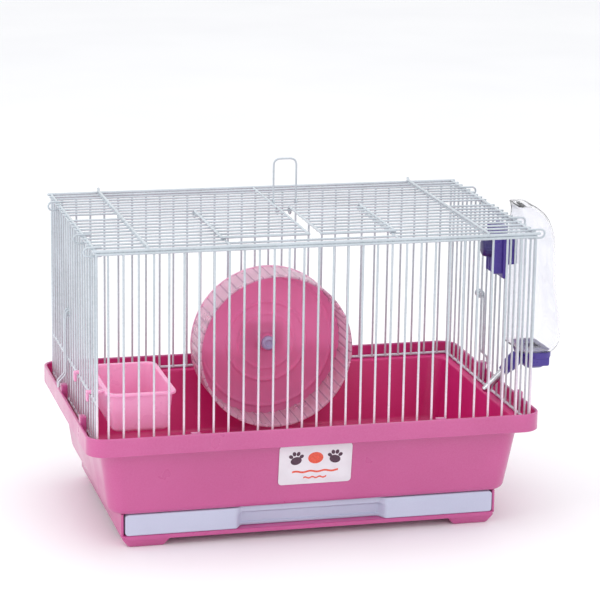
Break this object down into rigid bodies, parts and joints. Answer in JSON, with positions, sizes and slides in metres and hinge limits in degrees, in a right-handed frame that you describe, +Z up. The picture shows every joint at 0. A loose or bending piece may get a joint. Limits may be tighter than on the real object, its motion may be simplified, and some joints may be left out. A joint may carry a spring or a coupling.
{
  "type": "hamster cage",
  "caption": "Wire hamster cage on a moulded tray with a drawer, roof doors, carry loop, running wheel, hanging bowl and drinking bottle.",
  "frame": {"origin": "middle of the object's box, on the surface that its feet stand on", "axes": "+X along the cage's long side, +Y to its back, +Z up"},
  "size_m": [0.4081, 0.239, 0.2832],
  "materials": {
    "pink_plastic": "moulded, satin gloss",
    "pale_pink_plastic": "moulded, satin gloss",
    "clear_pink_plastic": "translucent, glossy",
    "white_plastic": "moulded, satin",
    "wire_enamel": "white enamel on steel wire",
    "violet_plastic": "moulded, satin gloss",
    "dark_plastic": "moulded",
    "steel": "polished",
    "clear_plastic": "clear blown plastic",
    "rubber": "matt",
    "printed_label": "printed film"
  },
  "bodies": {
    "base": {"tray": "pink_plastic", "label": "printed_label", "drawer_housing": "pink_plastic"},
    "drawer": {"drawer": "white_plastic"},
    "wire_top": {"front_panel": "wire_enamel", "back_panel": "wire_enamel", "left_panel": "wire_enamel", "right_panel": "wire_enamel", "top_panel": "wire_enamel", "left_hook_front": "wire_enamel", "left_hook_middle": "wire_enamel", "left_hook_back": "wire_enamel", "right_hook_front": "wire_enamel", "right_hook_middle": "wire_enamel", "right_hook_back": "wire_enamel", "wheel_axle": "steel", "wheel_bracket": "dark_plastic", "wheel_backplate": "dark_plastic", "wheel_screw_left": "steel", "wheel_screw_right": "steel", "bottle_clip": "violet_plastic"},
    "left_door": {"left_door": "wire_enamel"},
    "right_door": {"right_door": "wire_enamel"},
    "carry_loop": {"carry_loop": "wire_enamel"},
    "left_latch": {"left_latch": "wire_enamel"},
    "right_latch": {"right_latch": "wire_enamel"},
    "wheel": {"wheel_track": "pale_pink_plastic", "wheel_disc": "clear_pink_plastic", "hub_cap": "dark_plastic"},
    "food_bowl": {"food_bowl": "pale_pink_plastic"},
    "bottle": {"bottle": "clear_plastic", "bottle_cap": "violet_plastic", "cap_seal": "rubber", "spout_tube": "steel"},
    "spout_ball": {"spout_ball": "steel"}
  },
  "joints": [
    {"name": "drawer_slide", "type": "slide", "parent": "base", "child": "drawer", "axis": [0, -1, 0], "range_m": [0, 0.15]},
    {"name": "wire_top_lift", "type": "slide", "parent": "base", "child": "wire_top", "axis": [0, 0, 1], "range_m": [0, 0.12]},
    {"name": "left_door_hinge", "type": "hinge", "parent": "wire_top", "child": "left_door", "pos_m": [-0.05655, 0.014, 0.2454], "axis": [-1, 0, 0], "range_deg": [0, 110]},
    {"name": "right_door_hinge", "type": "hinge", "parent": "wire_top", "child": "right_door", "pos_m": [0.01895, 0.014, 0.2454], "axis": [-1, 0, 0], "range_deg": [0, 110]},
    {"name": "carry_loop_hinge", "type": "hinge", "parent": "wire_top", "child": "carry_loop", "pos_m": [-0.0073, 0.04633, 0.2454], "axis": [-1, 0, 0], "range_deg": [0, 72]},
    {"name": "left_latch_hinge", "type": "hinge", "parent": "wire_top", "child": "left_latch", "pos_m": [-0.19405, 0.02337, 0.1644], "axis": [0, 1, 0], "range_deg": [0, 100]},
    {"name": "right_latch_hinge", "type": "hinge", "parent": "wire_top", "child": "right_latch", "pos_m": [0.15995, 0.02337, 0.1644], "axis": [0, -1, 0], "range_deg": [0, 100]},
    {"name": "wheel_spin", "type": "hinge", "parent": "wire_top", "child": "wheel", "pos_m": [-0.01105, 0.092, 0.1139], "axis": [0, 1, 0], "continuous": true},
    {"name": "bowl_lift", "type": "slide", "parent": "wire_top", "child": "food_bowl", "axis": [0, 0, 1], "range_m": [0, 0.02]},
    {"name": "bottle_lift", "type": "slide", "parent": "wire_top", "child": "bottle", "axis": [0, 0, 1], "range_m": [0, 0.03]},
    {"name": "ball_press", "type": "slide", "parent": "bottle", "child": "spout_ball", "axis": [0.7071, 0, 0.7071], "range_m": [0, 0.0015]}
  ]
}
